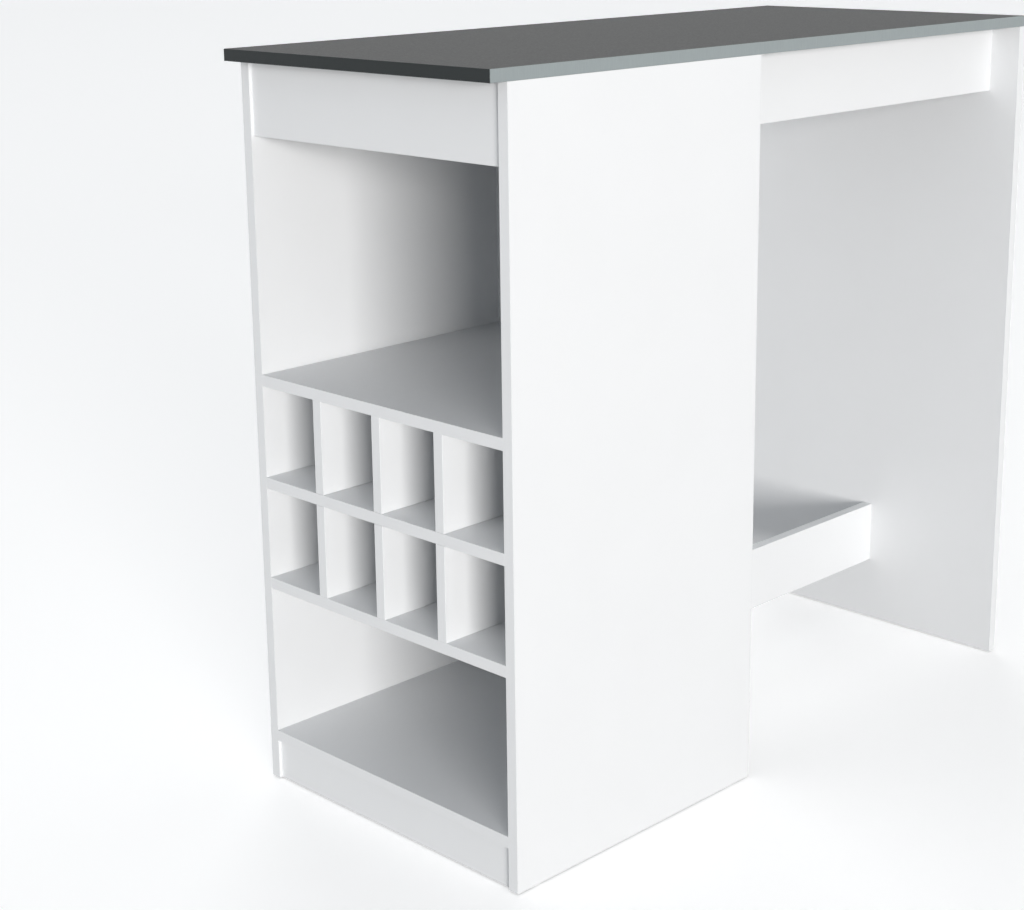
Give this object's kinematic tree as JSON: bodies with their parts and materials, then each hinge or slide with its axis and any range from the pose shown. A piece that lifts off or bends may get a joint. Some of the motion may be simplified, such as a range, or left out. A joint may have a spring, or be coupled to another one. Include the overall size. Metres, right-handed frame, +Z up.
{
  "type": "bar counter with shelves",
  "caption": "Free-standing bar counter of melamine board: a shelf cabinet with a bottle rack, open at one short end, and a knee space with a foot rail.",
  "frame": {"origin": "on the floor, under the middle of the tabletop", "axes": "+X along the counter from the cabinet's open end to the end panel, +Y through its depth from the near side to the far side, +Z up"},
  "size_m": [1.15, 0.498, 1.04],
  "materials": {
    "white_melamine": "white melamine facing on chipboard, satin, fine pearl texture, white edge bands",
    "anthracite_top": "anthracite melamine facing on chipboard, matt, fine grain",
    "grey_edge_band": "light grey plastic edge band, satin",
    "anthracite_edge_band": "anthracite plastic edge band, satin",
    "zinc_cam": "bare zinc die casting",
    "bright_steel": "zinc-plated steel",
    "glide_plastic": "white moulded plastic"
  },
  "bodies": {
    "root": {"base_board": "white_melamine", "cabinet_apron": "white_melamine", "cam_base_far_back": "zinc_cam", "cam_base_far_front": "zinc_cam", "cam_base_near_back": "zinc_cam", "cam_base_near_front": "zinc_cam", "cam_bolt_base_far_back": "bright_steel", "cam_bolt_base_far_front": "bright_steel", "cam_bolt_base_near_back": "bright_steel", "cam_bolt_base_near_front": "bright_steel", "cam_bolt_foot_rail_cabinet": "bright_steel", "cam_bolt_foot_rail_end_panel": "bright_steel", "cam_bolt_knee_apron_far_cabinet": "bright_steel", "cam_bolt_knee_apron_far_end_panel": "bright_steel", "cam_bolt_knee_apron_near_cabinet": "bright_steel", "cam_bolt_knee_apron_near_end_panel": "bright_steel", "cam_bolt_upper_shelf_far_back": "bright_steel", "cam_bolt_upper_shelf_far_front": "bright_steel", "cam_bolt_upper_shelf_near_back": "bright_steel", "cam_bolt_upper_shelf_near_front": "bright_steel", "cam_foot_rail_cabinet": "zinc_cam", "cam_foot_rail_end_panel": "zinc_cam", "cam_knee_apron_far_cabinet": "zinc_cam", "cam_knee_apron_far_end_panel": "zinc_cam", "cam_knee_apron_near_cabinet": "zinc_cam", "cam_knee_apron_near_end_panel": "zinc_cam", "cam_upper_shelf_far_back": "zinc_cam", "cam_upper_shelf_far_front": "zinc_cam", "cam_upper_shelf_near_back": "zinc_cam", "cam_upper_shelf_near_front": "zinc_cam", "end_panel": "white_melamine", "floor_glide_end_panel_far": "glide_plastic", "floor_glide_end_panel_near": "glide_plastic", "floor_glide_far_back": "glide_plastic", "floor_glide_far_front": "glide_plastic", "floor_glide_near_back": "glide_plastic", "floor_glide_near_front": "glide_plastic", "foot_rail": "white_melamine", "inner_wall": "white_melamine", "knee_apron_far": "white_melamine", "knee_apron_near": "white_melamine", "lower_shelf": "white_melamine", "middle_shelf": "white_melamine", "plinth_board": "white_melamine", "rack_divider_1": "white_melamine", "rack_divider_2": "white_melamine", "rack_divider_3": "white_melamine", "side_panel_far": "white_melamine", "side_panel_near": "white_melamine", "tabletop": "anthracite_top", "top_bracket_end_panel_far": "bright_steel", "top_bracket_end_panel_near": "bright_steel", "top_bracket_side_far": "bright_steel", "top_bracket_side_near": "bright_steel", "top_edge_band_closed_end": "anthracite_edge_band", "top_edge_band_far": "grey_edge_band", "top_edge_band_near": "grey_edge_band", "top_edge_band_open_end": "anthracite_edge_band", "upper_shelf": "white_melamine"}
  },
  "joints": []
}
